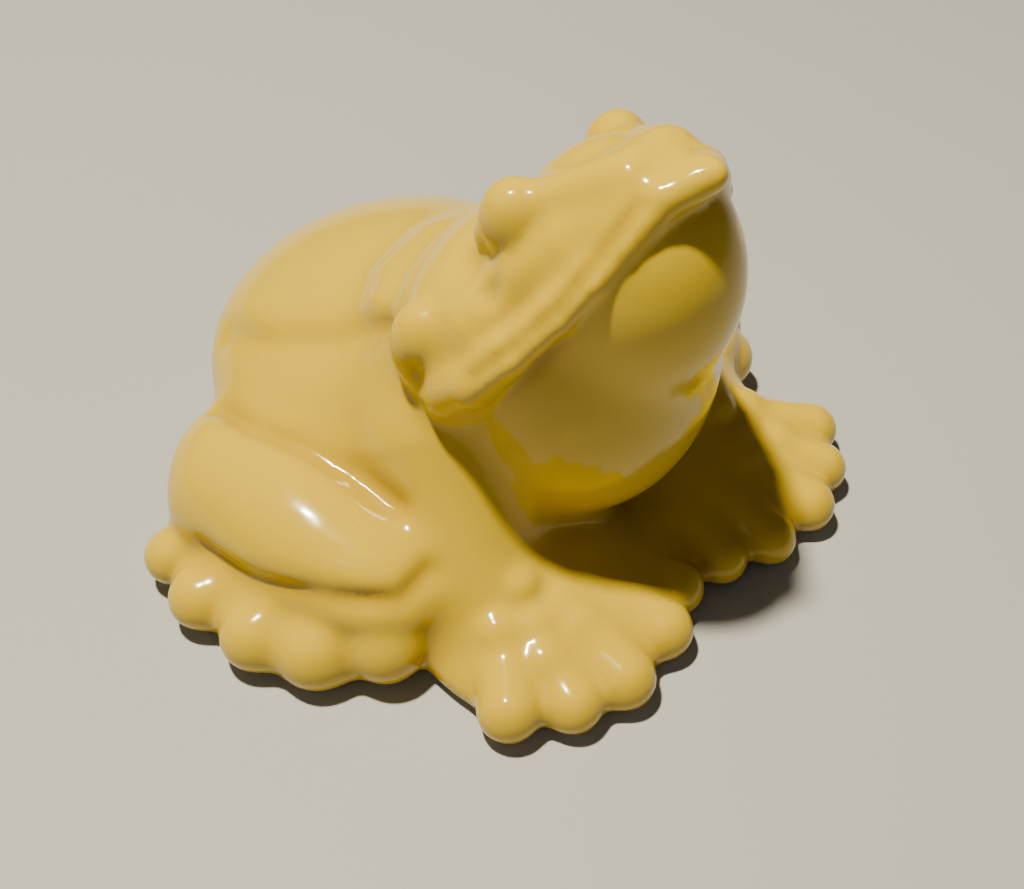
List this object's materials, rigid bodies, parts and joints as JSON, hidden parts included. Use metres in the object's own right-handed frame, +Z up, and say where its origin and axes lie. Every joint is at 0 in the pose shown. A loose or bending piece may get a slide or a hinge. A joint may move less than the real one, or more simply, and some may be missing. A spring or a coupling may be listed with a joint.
{
  "type": "ceramic frog figurine",
  "caption": "Seated frog figurine in thick glossy glaze, head raised over a swollen throat; hollow, with an oval base slab, a pull-out vent bung and felt feet.",
  "frame": {"origin": "on the table under the middle of the figurine's outline", "axes": "+Z up, -Y the way the frog faces, +X the frog's left"},
  "size_m": [0.1086, 0.0952, 0.0695],
  "materials": {
    "glaze": "thick glossy yellow-green glaze",
    "clay": "bare fired clay, matte",
    "bung_rubber": "soft translucent rubber, satin",
    "felt": "dark grey felt"
  },
  "bodies": {
    "figure": {"figure_casting": "glaze", "base_slab": "clay", "felt_pad_front_right": "felt", "felt_pad_front_left": "felt", "felt_pad_rear_right": "felt", "felt_pad_rear_left": "felt"},
    "bung": {"vent_bung": "bung_rubber"}
  },
  "joints": [
    {"name": "bung_pull", "type": "slide", "parent": "figure", "child": "bung", "axis": [0, 0, -1], "range_m": [0, 0.012]}
  ]
}
